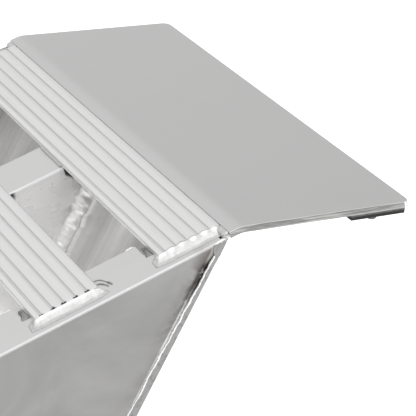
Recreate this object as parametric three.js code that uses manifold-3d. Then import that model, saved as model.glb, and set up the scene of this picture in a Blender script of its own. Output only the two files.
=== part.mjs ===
// Loading ramp, welded from aluminium channel and plate. Lengths are in millimetres.
// +X runs up the ramp to the lip, +Y runs across it, +Z points out of the treads.
// The origin is the middle of the plan, on the plane that the rails stand on.
import * as THREE from "three";
import { mergeVertices } from "three/addons/utils/BufferGeometryUtils.js";
import Module from "manifold-3d";

const wasm = await Module();
wasm.setup();

// Whole ramp
const LENGTH = 1800;
const WIDTH = 480;
const PLATE = 6;
const SEAM = 0.3; // root gap between welded pieces
const SLOPE = THREE.MathUtils.degToRad(20.7); // working slope: bend of the lip and cut of the foot

// Channel rails
const RAIL_DEPTH = 150;
const RAIL_FLANGE = 51;
const RAIL_OUTER_RADIUS = 2.5;
const RAIL_INNER_RADIUS = 4;
const MIDDLE_WEB_Y = -24.5; // back of the middle rail's web
const RAIL_NOSE_DEPTH = 7; // what is left of a rail at the foot

// Top lip and the plate that closes the rails under it
const LIP_REACH = 179.5; // from the sharp point of the bend to the free edge
const LIP_RISE = 4; // lip's upper face above the rails
const LIP_FLAT = 12; // level stretch before the sharp point of the bend
const LIP_BEND_RADIUS = 30;
const LIP_CORNER_RADIUS = 8;
const END_PLATE_ANGLE = THREE.MathUtils.degToRad(45.4);
const END_PLATE_SETBACK = 11.5; // its outer face behind the bend, at the rails' upper face
const END_PLATE_SIDE_INSET = 1.5; // step for the outer weld, in from the ramp's side
const CHAMFER_DEPTH = 2.2; // weld preparation on the side rails' mitred ends
const CHAMFER_LENGTH = 8;

// Ribbed treads
const TREAD_COUNT = 13;
const TREAD_PITCH = 121.5;
const TREAD_WIDTH = 62;
const TREAD_EDGE_RADIUS = 2;
const TREAD_END_INSET = 16; // from the ramp's side to the tread's end
const LIP_TO_TREAD_GAP = 1;
const GROOVE_COUNT = 5;
const GROOVE_PITCH = 11.2;
const GROOVE_SHIFT = -2.05; // the ribs sit slightly towards the tread's low edge
const GROOVE_DEPTH = 1.2;
const GROOVE_HALF_WIDTH = 1.6;
const GROOVE_FLOOR_HALF_WIDTH = 0.5;
const NOTCH_REACH = 7; // weld notch in the flange, out from the tread's low edge
const NOTCH_UNDERCUT = 5; // and in below the tread
const NOTCH_LENGTH = 23;

// Foot of the ramp
const TOE_PLATE_LENGTH = 90;
const TOE_BEVEL_LENGTH = 12;
const TOE_EDGE = 2;
const FOOT_SETBACK = 7;
const FOOT_LENGTH = 170;

// Rubber pads and their screws
const PAD_WIDTH = 58.5;
const PAD_THICKNESS = 5;
const PAD_SETBACK = 4.6;
const PAD_SIDE_INSET = 0.5;
const FOOT_PAD_SETBACK = 22;
const SCREW_COUNT = 4;
const SCREW_EDGE = 10;
const SCREW_SHANK_RADIUS = 2.7;
const SCREW_HEAD_RADIUS = 5.5;
const SCREW_HEAD_HEIGHT = 4.4;
const SCREW_BITE = 3.7; // depth of the screw in the plate
const HOLE_RADIUS = SCREW_SHANK_RADIUS + SEAM;

// Flat cross ties low between the rails
const TIE_WIDTH = 50;
const TIE_STATIONS = [-380, 20, 420];

const SIDE_Y = WIDTH / 2;
const FRONT_X = LENGTH / 2;
const BEND_X = FRONT_X - LIP_REACH * Math.cos(SLOPE);
const BEND_Z = RAIL_DEPTH + LIP_RISE;
const FIRST_TREAD_X = BEND_X - LIP_FLAT - LIP_TO_TREAD_GAP - TREAD_WIDTH / 2;
const TREAD_BASE_Z = RAIL_DEPTH + SEAM;
const FOOT_X = -FRONT_X + FOOT_SETBACK;
const FAR_OUT = 400; // cutting blocks reach this far past the rails
const ARC_STEPS = 6;

const aluminium = (color, roughness) =>
  new THREE.MeshStandardMaterial({ color, roughness, metalness: 1 });
const finishes = {
  rail: () => aluminium(0xc4c5c6, 0.32),
  tread: () => aluminium(0xdcdddd, 0.42),
  plate: () => aluminium(0xbcbdbe, 0.28),
  tie: () => aluminium(0xc0c1c2, 0.38),
  screw: () => new THREE.MeshStandardMaterial({ color: 0x9a9b9d, roughness: 0.3, metalness: 1 }),
  rubber: () => new THREE.MeshStandardMaterial({ color: 0x161616, roughness: 0.85, metalness: 0 }),
};

const ramp = new THREE.Group();

function addMesh(parent, name, geometry, material) {
  const mesh = new THREE.Mesh(geometry, material);
  mesh.name = name;
  parent.add(mesh);
  return mesh;
}

// A three.js geometry as a manifold solid.
function solidOf(geometry) {
  const bare = geometry.clone();
  bare.deleteAttribute("normal");
  bare.deleteAttribute("uv");
  const merged = mergeVertices(bare, 1e-4);
  return new wasm.Manifold(
    new wasm.Mesh({
      numProp: 3,
      vertProperties: new Float32Array(merged.attributes.position.array),
      triVerts: new Uint32Array(merged.index.array),
    }),
  );
}

function geometryOf(solid) {
  const mesh = solid.getMesh();
  const geometry = new THREE.BufferGeometry();
  geometry.setAttribute("position", new THREE.BufferAttribute(mesh.vertProperties, 3));
  geometry.setIndex(new THREE.BufferAttribute(mesh.triVerts, 1));
  geometry.computeVertexNormals();
  return geometry;
}

const cutAll = (body, tools) =>
  geometryOf(tools.reduce((rest, tool) => rest.subtract(solidOf(tool)), solidOf(body)));

// Outline in X and Z, extruded across the ramp from lowY to highY.
function acrossPrism(outline, lowY, highY) {
  const geometry = new THREE.ExtrudeGeometry(outline, {
    depth: highY - lowY,
    bevelEnabled: false,
    curveSegments: ARC_STEPS,
  });
  geometry.rotateX(Math.PI / 2);
  geometry.translate(0, highY, 0);
  return geometry;
}

// Outline in Y and Z, extruded along the ramp from lowX to highX.
function alongPrism(outline, lowX, highX) {
  const geometry = new THREE.ExtrudeGeometry(outline, {
    depth: highX - lowX,
    bevelEnabled: false,
    curveSegments: ARC_STEPS,
  });
  const turn = new THREE.Matrix4().makeBasis(
    new THREE.Vector3(0, 1, 0),
    new THREE.Vector3(0, 0, 1),
    new THREE.Vector3(1, 0, 0),
  );
  geometry.applyMatrix4(turn);
  geometry.translate(lowX, 0, 0);
  return geometry;
}

const outlineOf = (points) => new THREE.Shape(points.map(([a, b]) => new THREE.Vector2(a, b)));

// A corner of radius r at point, between the directions towards the corners before and after it.
function roundCorner(shape, point, before, after, r) {
  const start = [point[0] + before[0] * r, point[1] + before[1] * r];
  const end = [point[0] + after[0] * r, point[1] + after[1] * r];
  shape.lineTo(...start);
  shape.quadraticCurveTo(...point, ...end);
}

// Channel with its web's back at backY and its flanges pointing towards facing (+1 or -1).
function channelOutline(backY, facing) {
  const at = (u, z) => [backY + facing * u, z];
  const out = RAIL_OUTER_RADIUS;
  const fillet = RAIL_INNER_RADIUS;
  const shape = new THREE.Shape();
  shape.moveTo(...at(RAIL_FLANGE, 0));
  shape.lineTo(...at(RAIL_FLANGE, PLATE));
  roundCorner(shape, at(PLATE, PLATE), [facing, 0], [0, 1], fillet);
  roundCorner(shape, at(PLATE, RAIL_DEPTH - PLATE), [0, -1], [facing, 0], fillet);
  shape.lineTo(...at(RAIL_FLANGE, RAIL_DEPTH - PLATE));
  shape.lineTo(...at(RAIL_FLANGE, RAIL_DEPTH));
  roundCorner(shape, at(0, RAIL_DEPTH), [facing, 0], [0, -1], out);
  roundCorner(shape, at(0, 0), [0, 1], [facing, 0], out);
  shape.closePath();
  return shape;
}

// Where the end plate's face, moved by inward along its normal, is at height z.
const endPlateX = (z, inward) =>
  BEND_X - END_PLATE_SETBACK - inward / Math.sin(END_PLATE_ANGLE)
  - (RAIL_DEPTH - z) / Math.tan(END_PLATE_ANGLE);

// Where the foot plate's lower face, moved by upward along its normal, is at height z.
const footX = (z, upward) =>
  FOOT_X + upward / Math.sin(SLOPE) + (RAIL_DEPTH - z) / Math.tan(SLOPE);

// Block that mitres the rails' upper ends to the end plate.
function endMitre() {
  const inward = PLATE + SEAM;
  return acrossPrism(
    outlineOf([
      [endPlateX(-20, inward), -20],
      [FRONT_X + FAR_OUT, -20],
      [FRONT_X + FAR_OUT, RAIL_DEPTH + 20],
      [endPlateX(RAIL_DEPTH + 20, inward), RAIL_DEPTH + 20],
    ]),
    -FAR_OUT,
    FAR_OUT,
  );
}

// Side rail with its mitred end chamfered for the outer weld, on the ramp's side given by side (+1 or -1).
function chamferEnd(rail, side) {
  const outward = new THREE.Vector3(Math.sin(END_PLATE_ANGLE), 0, -Math.cos(END_PLATE_ANGLE));
  const start = new THREE.Vector3(endPlateX(RAIL_DEPTH, PLATE + SEAM), side * SIDE_Y, RAIL_DEPTH);
  start.addScaledVector(outward, -CHAMFER_LENGTH);
  const kept = new THREE.Vector3(0, -side * CHAMFER_LENGTH, 0);
  kept.addScaledVector(outward, -CHAMFER_DEPTH).normalize();
  return rail.trimByPlane(kept.toArray(), kept.dot(start));
}

// Block that tapers the rails' lower ends to the foot plate.
function footTaper() {
  const upward = PLATE + SEAM;
  return acrossPrism(
    outlineOf([
      [-FRONT_X - FAR_OUT, -20],
      [footX(-20, upward), -20],
      [footX(RAIL_DEPTH + 20, upward), RAIL_DEPTH + 20],
      [-FRONT_X - FAR_OUT, RAIL_DEPTH + 20],
    ]),
    -FAR_OUT,
    FAR_OUT,
  );
}

const treadX = (index) => FIRST_TREAD_X - index * TREAD_PITCH;

// Weld notches in a side rail's upper flange, one at each tread's low corner.
function weldNotches(innerY) {
  return Array.from({ length: TREAD_COUNT }, (_, index) => {
    const edge = treadX(index) - TREAD_WIDTH / 2;
    const notch = new THREE.BoxGeometry(NOTCH_REACH + NOTCH_UNDERCUT, NOTCH_LENGTH * 2, PLATE * 3);
    notch.translate(edge + (NOTCH_UNDERCUT - NOTCH_REACH) / 2, innerY, RAIL_DEPTH);
    return notch;
  });
}

function addRails() {
  const lowX = footX(RAIL_DEPTH - RAIL_NOSE_DEPTH, PLATE + SEAM);
  const innerY = SIDE_Y - RAIL_FLANGE;
  const rails = [
    { name: "rail_near", backY: -SIDE_Y, facing: 1, side: -1, notches: weldNotches(-innerY) },
    { name: "rail_middle", backY: MIDDLE_WEB_Y, facing: 1, side: 0, notches: [] },
    { name: "rail_far", backY: SIDE_Y, facing: -1, side: 1, notches: weldNotches(innerY) },
  ];
  for (const rail of rails) {
    const bar = alongPrism(channelOutline(rail.backY, rail.facing), lowX, FRONT_X);
    const cut = cutAll(bar, [endMitre(), footTaper(), ...rail.notches]);
    const shaped = rail.side === 0 ? cut : geometryOf(chamferEnd(solidOf(cut), rail.side));
    addMesh(ramp, rail.name, shaped, finishes.rail());
  }
}

// Tread section: a flat bar with rounded upper edges and grooves between its ribs.
function treadOutline(centreX) {
  const half = TREAD_WIDTH / 2;
  const top = TREAD_BASE_Z + PLATE;
  const shape = new THREE.Shape();
  shape.moveTo(centreX - half, TREAD_BASE_Z);
  roundCorner(shape, [centreX - half, top], [0, -1], [1, 0], TREAD_EDGE_RADIUS);
  for (let index = 0; index < GROOVE_COUNT; index += 1) {
    const groove = centreX + GROOVE_SHIFT + (index - (GROOVE_COUNT - 1) / 2) * GROOVE_PITCH;
    shape.lineTo(groove - GROOVE_HALF_WIDTH, top);
    shape.lineTo(groove - GROOVE_FLOOR_HALF_WIDTH, top - GROOVE_DEPTH);
    shape.lineTo(groove + GROOVE_FLOOR_HALF_WIDTH, top - GROOVE_DEPTH);
    shape.lineTo(groove + GROOVE_HALF_WIDTH, top);
  }
  roundCorner(shape, [centreX + half, top], [-1, 0], [0, -1], TREAD_EDGE_RADIUS);
  shape.lineTo(centreX + half, TREAD_BASE_Z);
  shape.closePath();
  return shape;
}

function addTreads() {
  const end = SIDE_Y - TREAD_END_INSET;
  for (let index = 0; index < TREAD_COUNT; index += 1) {
    const name = `tread_${String(index + 1).padStart(2, "0")}`;
    addMesh(ramp, name, acrossPrism(treadOutline(treadX(index)), -end, end), finishes.tread());
  }
}

// Point on the lip: run along its upper face from the bend's sharp point, drop below that face.
const onLip = (run, drop) => [
  BEND_X + run * Math.cos(SLOPE) - drop * Math.sin(SLOPE),
  BEND_Z - run * Math.sin(SLOPE) - drop * Math.cos(SLOPE),
];

// Point below the foot plate: run along its lower face from the tip, drop below that face.
const belowFoot = (run, drop) => [
  FOOT_X + run * Math.cos(SLOPE) - drop * Math.sin(SLOPE),
  RAIL_DEPTH - run * Math.sin(SLOPE) - drop * Math.cos(SLOPE),
];

function lipOutline() {
  const tangent = LIP_BEND_RADIUS * Math.tan(SLOPE / 2);
  const centre = [BEND_X - tangent, BEND_Z - LIP_BEND_RADIUS];
  const shape = new THREE.Shape();
  const level = Math.PI / 2;
  shape.moveTo(BEND_X - LIP_FLAT, BEND_Z - PLATE);
  shape.lineTo(BEND_X - LIP_FLAT, BEND_Z);
  shape.absarc(...centre, LIP_BEND_RADIUS, level, level - SLOPE, true);
  shape.lineTo(...onLip(LIP_REACH, 0));
  shape.lineTo(...onLip(LIP_REACH, PLATE));
  shape.absarc(...centre, LIP_BEND_RADIUS - PLATE, level - SLOPE, level, false);
  shape.closePath();
  return shape;
}

// Upright prism over the lip's plan, with the two free corners rounded.
function lipPlan() {
  const r = LIP_CORNER_RADIUS;
  const shape = new THREE.Shape();
  shape.moveTo(BEND_X - FAR_OUT, -SIDE_Y);
  shape.lineTo(FRONT_X - r, -SIDE_Y);
  shape.absarc(FRONT_X - r, -SIDE_Y + r, r, -Math.PI / 2, 0, false);
  shape.absarc(FRONT_X - r, SIDE_Y - r, r, 0, Math.PI / 2, false);
  shape.lineTo(BEND_X - FAR_OUT, SIDE_Y);
  shape.closePath();
  const options = { depth: RAIL_DEPTH * 2, bevelEnabled: false, curveSegments: ARC_STEPS };
  return new THREE.ExtrudeGeometry(shape, options);
}

// Screw stations across the ramp, the same for both pads.
const screwY = (index) =>
  -SIDE_Y + SCREW_EDGE + (index * (WIDTH - 2 * SCREW_EDGE)) / (SCREW_COUNT - 1);

// Blind screw holes in the plate above a pad whose middle is at the given place.
function screwHoles([x, z], bite) {
  return Array.from({ length: SCREW_COUNT }, (_, index) => {
    const depth = bite + SEAM;
    const hole = new THREE.CylinderGeometry(HOLE_RADIUS, HOLE_RADIUS, depth + 2, 12);
    hole.rotateX(Math.PI / 2);
    hole.translate(0, 0, (depth - 2) / 2);
    hole.rotateY(SLOPE);
    hole.translate(x, screwY(index), z);
    return hole;
  });
}

function screwGeometry() {
  const head = SCREW_HEAD_RADIUS;
  const drop = PAD_THICKNESS + 2 * SEAM;
  const profile = [
    [0, SCREW_BITE],
    [0, -drop - SCREW_HEAD_HEIGHT],
    [head * 0.6, -drop - SCREW_HEAD_HEIGHT],
    [head * 0.9, -drop - SCREW_HEAD_HEIGHT * 0.75],
    [head, -drop - SCREW_HEAD_HEIGHT * 0.35],
    [head, -drop],
    [SCREW_SHANK_RADIUS, -drop],
    [SCREW_SHANK_RADIUS, SCREW_BITE - 1],
    [SCREW_SHANK_RADIUS - 1, SCREW_BITE],
    [0, SCREW_BITE],
  ];
  const points = profile.map(([radius, height]) => new THREE.Vector2(radius, height));
  const screw = new THREE.LatheGeometry(points, 12);
  screw.rotateX(Math.PI / 2);
  return screw;
}

// Rubber pad and its screws under a sloping plate. The group's X runs down the slope.
function addPad(prefix, [x, z]) {
  const group = new THREE.Group();
  group.position.set(x, 0, z);
  group.rotation.y = SLOPE;
  ramp.add(group);
  const halfY = SIDE_Y - PAD_SIDE_INSET;
  const outline = outlineOf([
    [-PAD_WIDTH / 2, -halfY],
    [PAD_WIDTH / 2, -halfY],
    [PAD_WIDTH / 2, halfY],
    [-PAD_WIDTH / 2, halfY],
  ]);
  for (let index = 0; index < SCREW_COUNT; index += 1) {
    const hole = new THREE.Path();
    hole.absarc(0, screwY(index), HOLE_RADIUS, 0, Math.PI * 2, true);
    outline.holes.push(hole);
  }
  const pad = new THREE.ExtrudeGeometry(outline, {
    depth: PAD_THICKNESS,
    bevelEnabled: false,
    curveSegments: ARC_STEPS,
  });
  pad.translate(0, 0, -PAD_THICKNESS - SEAM);
  addMesh(group, `${prefix}_pad`, pad, finishes.rubber());
  for (let index = 0; index < SCREW_COUNT; index += 1) {
    const screw = addMesh(group, `${prefix}_screw_${index + 1}`, screwGeometry(), finishes.screw());
    screw.position.y = screwY(index);
  }
}

function addLip() {
  const padMiddle = onLip(LIP_REACH - PAD_SETBACK - PAD_WIDTH / 2, PLATE);
  const bent = solidOf(acrossPrism(lipOutline(), -SIDE_Y, SIDE_Y)).intersect(solidOf(lipPlan()));
  const drilled = cutAll(geometryOf(bent), screwHoles(padMiddle, SCREW_BITE));
  addMesh(ramp, "lip_plate", drilled, finishes.plate());
  addPad("lip", padMiddle);
}

// Sloping plate across the rails' mitred ends, up to the underside of the lip.
function addEndPlate() {
  const topZ = BEND_Z - PLATE - SEAM;
  const outline = outlineOf([
    [endPlateX(0, PLATE), 0],
    [endPlateX(0, 0), 0],
    [endPlateX(topZ, 0), topZ],
    [endPlateX(topZ, PLATE), topZ],
  ]);
  const halfY = SIDE_Y - END_PLATE_SIDE_INSET;
  addMesh(ramp, "end_plate", acrossPrism(outline, -halfY, halfY), finishes.plate());
}

// Flat step-on plate with a bevelled edge, over the foot plate that meets it at the tip.
function addFoot() {
  const topZ = TREAD_BASE_Z + PLATE;
  const toe = outlineOf([
    [-FRONT_X, TREAD_BASE_Z],
    [-FRONT_X + TOE_PLATE_LENGTH, TREAD_BASE_Z],
    [-FRONT_X + TOE_PLATE_LENGTH, topZ],
    [-FRONT_X + TOE_BEVEL_LENGTH, topZ],
    [-FRONT_X, TREAD_BASE_Z + TOE_EDGE],
  ]);
  addMesh(ramp, "toe_plate", acrossPrism(toe, -SIDE_Y, SIDE_Y), finishes.plate());

  const foot = outlineOf([
    [FOOT_X, RAIL_DEPTH],
    belowFoot(FOOT_LENGTH, 0),
    belowFoot(FOOT_LENGTH, -PLATE),
    [footX(RAIL_DEPTH, PLATE), RAIL_DEPTH],
  ]);
  const padMiddle = belowFoot(FOOT_PAD_SETBACK + PAD_WIDTH / 2, 0);
  const holes = screwHoles(padMiddle, SCREW_BITE);
  addMesh(ramp, "foot_plate", cutAll(acrossPrism(foot, -SIDE_Y, SIDE_Y), holes), finishes.plate());
  addPad("foot", padMiddle);
}

// Flat bars welded low between neighbouring rails, clear of the channels' fillets.
function addTies() {
  const clear = PLATE + RAIL_INNER_RADIUS + SEAM;
  const bays = [
    { name: "near", lowY: -SIDE_Y + clear, highY: MIDDLE_WEB_Y - SEAM },
    { name: "far", lowY: MIDDLE_WEB_Y + clear, highY: SIDE_Y - clear },
  ];
  TIE_STATIONS.forEach((station, index) => {
    for (const bay of bays) {
      const tie = new THREE.BoxGeometry(TIE_WIDTH, bay.highY - bay.lowY, PLATE);
      tie.translate(station, (bay.lowY + bay.highY) / 2, PLATE + SEAM + PLATE / 2);
      addMesh(ramp, `cross_tie_${bay.name}_${index + 1}`, tie, finishes.tie());
    }
  });
}

addRails();
addTreads();
addLip();
addEndPlate();
addFoot();
addTies();

export default ramp;
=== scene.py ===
"""Looks for the welded aluminium loading ramp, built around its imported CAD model. Lengths are in metres."""

import math

import bmesh
import bpy
from mathutils import Matrix, Vector, noise


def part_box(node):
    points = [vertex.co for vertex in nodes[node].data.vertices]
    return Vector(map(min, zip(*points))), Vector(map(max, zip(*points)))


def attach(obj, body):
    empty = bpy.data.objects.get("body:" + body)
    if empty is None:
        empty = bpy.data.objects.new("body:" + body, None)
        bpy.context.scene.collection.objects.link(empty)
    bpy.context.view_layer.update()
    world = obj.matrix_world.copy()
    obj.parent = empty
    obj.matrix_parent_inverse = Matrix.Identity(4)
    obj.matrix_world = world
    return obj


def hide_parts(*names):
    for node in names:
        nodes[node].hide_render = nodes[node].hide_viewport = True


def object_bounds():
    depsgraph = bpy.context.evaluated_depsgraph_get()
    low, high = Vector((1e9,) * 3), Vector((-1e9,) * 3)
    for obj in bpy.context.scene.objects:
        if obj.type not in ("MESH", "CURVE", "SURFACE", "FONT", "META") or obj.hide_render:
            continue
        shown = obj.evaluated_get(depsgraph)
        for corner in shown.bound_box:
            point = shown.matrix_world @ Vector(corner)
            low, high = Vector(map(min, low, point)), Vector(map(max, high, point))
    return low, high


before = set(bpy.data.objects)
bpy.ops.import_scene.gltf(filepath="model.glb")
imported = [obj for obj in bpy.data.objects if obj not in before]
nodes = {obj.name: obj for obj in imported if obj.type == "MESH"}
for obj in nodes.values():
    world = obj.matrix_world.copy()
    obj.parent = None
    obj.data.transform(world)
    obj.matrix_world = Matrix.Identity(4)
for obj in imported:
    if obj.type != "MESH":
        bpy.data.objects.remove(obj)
cad_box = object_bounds()

MM = 0.001

# Sizes of the ramp's stock, the same as in the CAD model.
PLATE = 6 * MM
SLOPE = math.radians(20.7)
END_PLATE_ANGLE = math.radians(45.4)
GROOVE_COUNT = 5
GROOVE_PITCH = 11.2 * MM
GROOVE_SHIFT = -2.05 * MM

# Camera: place, direction and lens.
CAMERA_PLACE = Vector((0.2458, -1.4483, 1.0740))
CAMERA_AZIMUTH = math.radians(20.872)
CAMERA_ELEVATION = math.radians(34.408)
CAMERA_ROLL = math.radians(-14.903)
CAMERA_LENS = 158.81
CAMERA_SENSOR = 36.0

boxes = {name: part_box(name) for name in nodes}
ALONG = Vector((1, 0, 0))
ACROSS = Vector((0, 1, 0))
UP = Vector((0, 0, 1))
rail_low, rail_high = boxes["rail_near"]
RAIL_TOP = rail_high[2]
SIDE = -rail_low[1]
RAILS = ("rail_near", "rail_middle", "rail_far")
TREADS = sorted(name for name in nodes if name.startswith("tread_"))
TIES = sorted(name for name in nodes if name.startswith("cross_tie_"))
SCREWS = sorted(name for name in nodes if "_screw_" in name)
TREAD_TOP = boxes[TREADS[0]][1][2]
MIDDLE_FACE = boxes["rail_middle"][0][1]
end_high = boxes["end_plate"][1]
END_TOP = Vector((end_high[0], 0, end_high[2]))
END_NORMAL = Vector((math.sin(END_PLATE_ANGLE), 0, -math.cos(END_PLATE_ANGLE)))
SLOPE_DOWN = Vector((math.cos(SLOPE), 0, -math.sin(SLOPE)))
OFF_SLOPE = Vector((math.sin(SLOPE), 0, math.cos(SLOPE)))


def side_name(side):
    return "near" if side < 0 else "far"


# ---- materials ----

class Shader:
    """A material's node tree, with short calls for the nodes used here."""

    def __init__(self, name):
        self.material = bpy.data.materials.new(name)
        self.material.use_nodes = True
        self.tree = self.material.node_tree
        self.bsdf = self.tree.nodes["Principled BSDF"]
        self.place = self.tree.nodes.new("ShaderNodeTexCoord").outputs["Object"]

    def link(self, source, socket):
        self.tree.links.new(source, socket)

    def fill(self, socket, value):
        if isinstance(value, bpy.types.NodeSocket):
            self.link(value, socket)
        else:
            socket.default_value = value

    def math(self, operation, a, b=0.0, clamp=False):
        node = self.tree.nodes.new("ShaderNodeMath")
        node.operation = operation
        node.use_clamp = clamp
        self.fill(node.inputs[0], a)
        self.fill(node.inputs[1], b)
        return node.outputs[0]

    def dot(self, vector):
        node = self.tree.nodes.new("ShaderNodeVectorMath")
        node.operation = "DOT_PRODUCT"
        self.link(self.place, node.inputs[0])
        node.inputs[1].default_value = vector
        return node.outputs["Value"]

    def noise(self, scale, detail=3.0, rough=0.5, warp=0.0, slope=0.0):
        """Noise with its own scale along each axis, in cells per metre, the axes tilted down by slope."""
        mapping = self.tree.nodes.new("ShaderNodeMapping")
        mapping.vector_type = "TEXTURE"
        mapping.inputs["Rotation"].default_value = (0, slope, 0)
        mapping.inputs["Scale"].default_value = [1 / cells for cells in scale]
        self.link(self.place, mapping.inputs["Vector"])
        node = self.tree.nodes.new("ShaderNodeTexNoise")
        node.inputs["Scale"].default_value = 1.0
        node.inputs["Detail"].default_value = detail
        node.inputs["Roughness"].default_value = rough
        node.inputs["Distortion"].default_value = warp
        self.link(mapping.outputs[0], node.inputs["Vector"])
        return node.outputs["Fac"]

    def span(self, value, low, high, to_low=0.0, to_high=1.0):
        """Value carried from low..high to to_low..to_high, with smooth ends."""
        node = self.tree.nodes.new("ShaderNodeMapRange")
        node.interpolation_type = "SMOOTHSTEP"
        self.fill(node.inputs["Value"], value)
        node.inputs["From Min"].default_value = low
        node.inputs["From Max"].default_value = high
        node.inputs["To Min"].default_value = to_low
        node.inputs["To Max"].default_value = to_high
        return node.outputs["Result"]

    def blend(self, factor, a, b):
        node = self.tree.nodes.new("ShaderNodeMix")
        node.data_type = "RGBA"
        self.fill(node.inputs["Factor"], factor)
        self.fill(node.inputs["A"], a)
        self.fill(node.inputs["B"], b)
        return node.outputs["Result"]

    def scaled(self, color, factor):
        node = self.tree.nodes.new("ShaderNodeMix")
        node.data_type = "RGBA"
        node.blend_type = "MULTIPLY"
        node.inputs["Factor"].default_value = 1.0
        self.fill(node.inputs["A"], color)
        self.fill(node.inputs["B"], factor)
        return node.outputs["Result"]

    def axis(self, index):
        """The place along X, Y or Z."""
        return self.dot(tuple(1.0 if index == other else 0.0 for other in range(3)))

    def from_middle_face(self):
        """Distance across from the middle rail's web face."""
        return self.math("ABSOLUTE", self.math("SUBTRACT", self.axis(1), MIDDLE_FACE))

    def around_half(self, value, amount):
        """How far a noise value is from its middle, times amount."""
        return self.math("MULTIPLY", self.math("SUBTRACT", value, 0.5), amount)

    def attribute(self, name):
        node = self.tree.nodes.new("ShaderNodeAttribute")
        node.attribute_name = name
        return node.outputs["Fac"]

    def times(self, *factors):
        total = factors[0]
        for factor in factors[1:]:
            total = self.math("MULTIPLY", total, factor)
        return total

    def bump(self, height, distance, strength=1.0, under=None):
        node = self.tree.nodes.new("ShaderNodeBump")
        node.inputs["Distance"].default_value = distance
        node.inputs["Strength"].default_value = strength
        self.link(height, node.inputs["Height"])
        if under is not None:
            self.link(under, node.inputs["Normal"])
        return node.outputs["Normal"]


def grey(value, warmth=0.0):
    return (value * (1 + warmth), value, value * (1 - warmth), 1.0)


def stretched(axes, along, across):
    return tuple(along if index in axes else across for index in range(3))


# Noise along the rolling grain and across it, in cells per metre.
GRAIN_FINE = (14, 2400)
GRAIN_BROAD = (5, 160)
# Painted reflection: broad bands of tone, used on the end plate.
PAINTED_REFLECTION_BANDS = (2, 26)
GRAIN_SCRATCH = (22, 900)
# Noise that is the same in every direction.
CLOUD = (13, 13, 13)
SPECK = (420, 420, 420)

# Painted light: the colour of the rails' faces inside the bays.
INSIDE_PAINTED_LIGHT_GREY = 0.97
INSIDE_SMOOTHER = 0.08
INSIDE_METALLIC = 0.25  # the faces inside the bays are less metallic, which brightens them along with their painted light
# Painted shade: the colour of the rails' outer faces.
OUTER_PAINTED_SHADE_GREY = 0.285
# Painted highlight: share of near-white on the rails' rounded upper edges, which also stands for polish.
EDGE_HIGHLIGHT_SHARE = 0.38
EDGE_HIGHLIGHT_ROUGHER = 0.25
# Painted shade: share of dark grey in the treads' grooves.
GROOVE_PAINTED_SHADE = 0.14
# Painted light: the treads' undersides are made this bright.
UNDERSIDE_PAINTED_LIGHT_GREY = 0.93
# Extra roughness under the smut and the painted shadow.
SMUT_AND_SHADOW_ROUGHER = 0.2


def aluminium(name, value, roughness, grain, mottle=0.05, streak=0.1, wave=0.15, scratches=0.05,
              specks=0.03, brush=0.5, metallic=1.0, satin=0.08, reflection_bands=0.0, layers=()):
    """Mill-finish aluminium with its rolling grain along the axes in grain, and layers on it of wear, painted
    light, painted shade and painted highlights.
    """
    s = Shader(name)
    fine = s.noise(stretched(grain, *GRAIN_FINE), 2.0)
    broad = s.noise(stretched(grain, *GRAIN_BROAD), 4.0, 0.6)
    cloud = s.noise(CLOUD, 4.0, 0.55, 0.6)
    tone = metal_tone(s, grain, cloud, broad, mottle, streak, scratches, specks, reflection_bands)
    color = s.scaled(grey(value, 0.004), tone)
    rough = s.math("ADD", roughness, s.around_half(broad, satin))
    rough = s.math("ADD", rough, s.around_half(cloud, 0.16))
    s.bsdf.inputs["Metallic"].default_value = metallic
    for layer in layers:
        color, rough = layer(s, color, rough, tone)
    s.link(color, s.bsdf.inputs["Base Color"])
    s.link(s.math("ADD", rough, 0.0, clamp=True), s.bsdf.inputs["Roughness"])
    waves = s.bump(cloud, 0.9 * MM, wave)
    s.link(s.bump(fine, 0.012 * MM, brush, waves), s.bsdf.inputs["Normal"])
    return s.material


def metal_tone(s, grain, cloud, broad, mottle, streak, scratches, specks, reflection_bands):
    """Brightness round 1, from soft clouds, streaks along the grain, painted reflections in broad bands,
    scratches and specks.
    """
    scratch = s.span(s.noise(stretched(grain, *GRAIN_SCRATCH), 1.0), 0.66, 0.72)
    tone = s.math("ADD", 1 - mottle, s.math("MULTIPLY", cloud, 2 * mottle))
    tone = s.math("ADD", tone, s.around_half(broad, streak))
    tone = s.math("SUBTRACT", tone, s.math("MULTIPLY", scratch, scratches))
    # painted reflection in broad bands along the grain
    painted_reflection = s.noise(stretched(grain, *PAINTED_REFLECTION_BANDS), 2.0, 0.5)
    tone = s.math("ADD", tone, s.around_half(painted_reflection, reflection_bands))
    return s.math("ADD", tone, s.around_half(s.noise(SPECK, 2.0, 0.6), specks))


# Layers of an aluminium finish: each takes and returns its colour and roughness.

def rail_inside_light_outside_shade(s, color, rough, tone):
    """Painted light on the faces inside the bays, bright and less metallic, and painted shade on the faces
    outside, dark and patchy.
    """
    outer = s.span(s.math("ABSOLUTE", s.axis(1)), SIDE - 1.2 * MM, SIDE - 0.4 * MM)
    low = s.span(s.axis(2), RAIL_TOP - 1.5 * MM, RAIL_TOP - 0.5 * MM, 1.0, 0.0)
    within = s.times(s.math("SUBTRACT", 1.0, outer), low)
    # painted light: the faces inside the bays are made bright
    color = s.blend(within, color, s.scaled(grey(INSIDE_PAINTED_LIGHT_GREY, 0.004), tone))
    # painted shade: the outer faces are made dark and patchy
    patchy = s.span(s.noise((9, 9, 11), 4.0, 0.6, 0.8), 0.3, 0.7, 0.90, 1.08)
    dark = s.scaled(grey(OUTER_PAINTED_SHADE_GREY, 0.008), s.times(tone, patchy))
    color = s.blend(s.times(outer, low), color, dark)
    s.link(s.span(within, 0.0, 1.0, 1.0, INSIDE_METALLIC), s.bsdf.inputs["Metallic"])
    return color, s.math("SUBTRACT", rough, s.math("MULTIPLY", within, INSIDE_SMOOTHER))


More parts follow.
